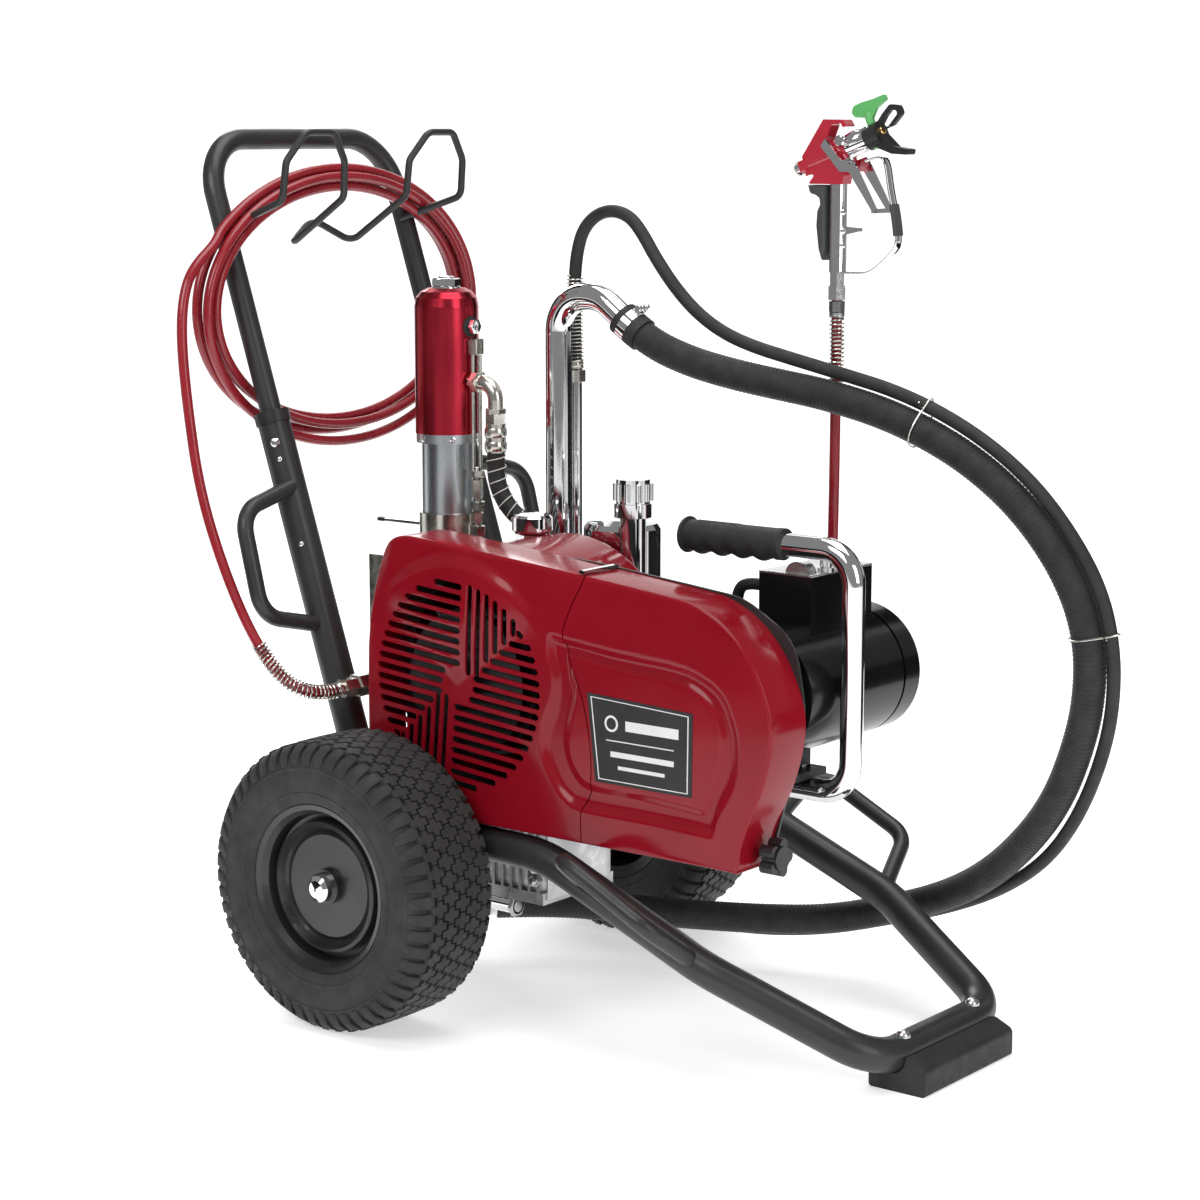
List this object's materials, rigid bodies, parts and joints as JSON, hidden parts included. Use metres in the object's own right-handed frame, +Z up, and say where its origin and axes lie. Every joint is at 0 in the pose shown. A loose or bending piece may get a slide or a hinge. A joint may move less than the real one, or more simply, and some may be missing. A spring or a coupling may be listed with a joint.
{
  "type": "airless paint sprayer",
  "caption": "Electric piston paint sprayer on a two-wheel cart with sliding handle, belt guard, motor, hydraulic pump column, suction hose, hung hose coil and spray gun.",
  "frame": {"origin": "on the floor, in the middle of the machine's box, free hoses left out", "axes": "+X forward from the handle to the foot, +Y to the side away from the belt guard, +Z up"},
  "size_m": [1.0777, 0.648, 1.0344],
  "materials": {
    "black_paint": "satin powder coat",
    "black_gloss": "gloss enamel",
    "black_rim": "semi gloss",
    "black_cast": "satin over cast metal",
    "red_paint": "gloss",
    "red_anodised": "anodised satin",
    "cast_aluminium": "satin",
    "chrome_trim": "polished",
    "nickel": "plated",
    "zinc_steel": "zinc plated",
    "grey_cast_iron": "machined",
    "black_rubber": "matte",
    "black_hose": "matte woven",
    "tyre_rubber": "matte",
    "black_plastic": "semi gloss",
    "grey_plastic": "matte",
    "green_plastic": "gloss",
    "red_hose": "gloss jacket"
  },
  "bodies": {
    "chassis": {"cart_frame": "black_paint", "foot_pad": "black_rubber", "foot_bolts": "zinc_steel", "deck_plate": "black_paint", "axle": "zinc_steel", "hub_caps": "chrome_trim", "sleeve_collars": "black_plastic", "reservoir": "cast_aluminium", "tank_shroud": "red_paint", "hydraulic_pump": "black_cast", "filter_housing": "chrome_trim", "pressure_valve": "nickel", "guard_rear": "red_paint", "guard_front": "red_paint", "guard_plate": "black_paint", "drive_belt": "black_rubber", "motor_body": "black_gloss", "end_bell": "black_gloss", "control_box": "black_gloss", "motor_cradle": "black_paint", "motor_handle": "chrome_trim", "handle_grip": "black_rubber", "hydraulic_cylinder": "red_anodised", "spacer_sleeve": "cast_aluminium", "packing_nut": "nickel", "fluid_section": "nickel", "foot_valve": "nickel", "outlet_fitting": "nickel", "elbow_fitting": "nickel", "pressure_hose": "black_rubber", "siphon_tube": "nickel", "return_tube": "nickel", "gun_body": "red_paint", "gun_handle": "nickel", "gun_swivel": "nickel", "gun_grip": "grey_plastic", "gun_diffuser": "chrome_trim", "trigger_guard": "chrome_trim", "paint_hose_outlet": "red_hose", "paint_hose_gun": "red_hose", "siphon_hose": "black_hose", "return_hose": "black_hose"},
    "wheel_left": {"rim_left": "black_rim", "tyre_left": "tyre_rubber"},
    "wheel_right": {"rim_right": "black_rim", "tyre_right": "tyre_rubber"},
    "handle": {"handle_tube": "black_paint", "hose_rack": "black_paint", "paint_hose_coil": "red_hose"},
    "drive_pulley": {"motor_pulley": "grey_cast_iron"},
    "fan": {"fan_pulley": "grey_cast_iron"},
    "piston": {"piston_rod": "chrome_trim"},
    "pressure_knob": {"pressure_knob": "chrome_trim"},
    "filler_cap": {"tank_cap": "chrome_trim"},
    "latch": {"guard_latch": "chrome_trim"},
    "star_knob": {"guard_knob": "black_plastic"},
    "switch": {"power_switch": "nickel"},
    "trigger": {"gun_trigger": "nickel"},
    "tip_guard": {"tip_guard": "black_plastic"},
    "tip_key": {"tip_key": "green_plastic"}
  },
  "joints": [
    {"name": "wheel_left_spin", "type": "hinge", "parent": "chassis", "child": "wheel_left", "pos_m": [-0.15874, -0.2605, 0.165], "axis": [0, 1, 0], "continuous": true},
    {"name": "wheel_right_spin", "type": "hinge", "parent": "chassis", "child": "wheel_right", "pos_m": [-0.15874, 0.2605, 0.165], "axis": [0, 1, 0], "continuous": true},
    {"name": "handle_slide", "type": "slide", "parent": "chassis", "child": "handle", "axis": [-0.3176, 0, 0.9482], "range_m": [-0.1, 0], "deforming": ["paint_hose_outlet", "paint_hose_gun"]},
    {"name": "fan_spin", "type": "hinge", "parent": "chassis", "child": "fan", "pos_m": [-0.06174, 0, 0.388], "axis": [0, 1, 0], "continuous": true},
    {"name": "drive_spin", "type": "hinge", "parent": "chassis", "child": "drive_pulley", "pos_m": [0.28526, 0, 0.408], "axis": [0, 1, 0], "continuous": true},
    {"name": "piston_stroke", "type": "slide", "parent": "chassis", "child": "piston", "axis": [0, 0, 1], "range_m": [-0.04, 0.035]},
    {"name": "pressure_turn", "type": "hinge", "parent": "chassis", "child": "pressure_knob", "pos_m": [0.00126, 0.049, 0.578], "axis": [0, 0, 1], "range_deg": [-270, 0]},
    {"name": "cap_turn", "type": "hinge", "parent": "chassis", "child": "filler_cap", "pos_m": [-0.10874, 0, 0.545], "axis": [0, 0, 1], "range_deg": [-360, 0]},
    {"name": "latch_flip", "type": "hinge", "parent": "chassis", "child": "latch", "pos_m": [0.11376, -0.129, 0.533], "axis": [1, 0, 0], "range_deg": [-60, 0]},
    {"name": "star_turn", "type": "hinge", "parent": "chassis", "child": "star_knob", "pos_m": [0.34126, -0.15, 0.247], "axis": [1, 0, 0], "range_deg": [-360, 0]},
    {"name": "switch_rock", "type": "hinge", "parent": "chassis", "child": "switch", "pos_m": [0.30326, -0.05, 0.53], "axis": [0, 1, 0], "range_deg": [-20, 20]},
    {"name": "trigger_pull", "type": "hinge", "parent": "chassis", "child": "trigger", "pos_m": [0.19276, 0.165, 0.979], "axis": [0, 1, 0], "range_deg": [0, 12], "stiffness_Nm_per_rad": 0.6},
    {"name": "guard_swivel", "type": "hinge", "parent": "chassis", "child": "tip_guard", "pos_m": [0.24823, 0.165, 0.9892], "axis": [0.9397, 0, 0.342], "range_deg": [-90, 90]},
    {"name": "key_turn", "type": "hinge", "parent": "tip_guard", "child": "tip_key", "pos_m": [0.24823, 0.165, 0.9892], "axis": [-0.342, 0, 0.9397], "range_deg": [-180, 0]}
  ],
  "couplings": [
    {"joint": "drive_spin", "follows": "fan_spin", "ratio": 2.0526}
  ]
}
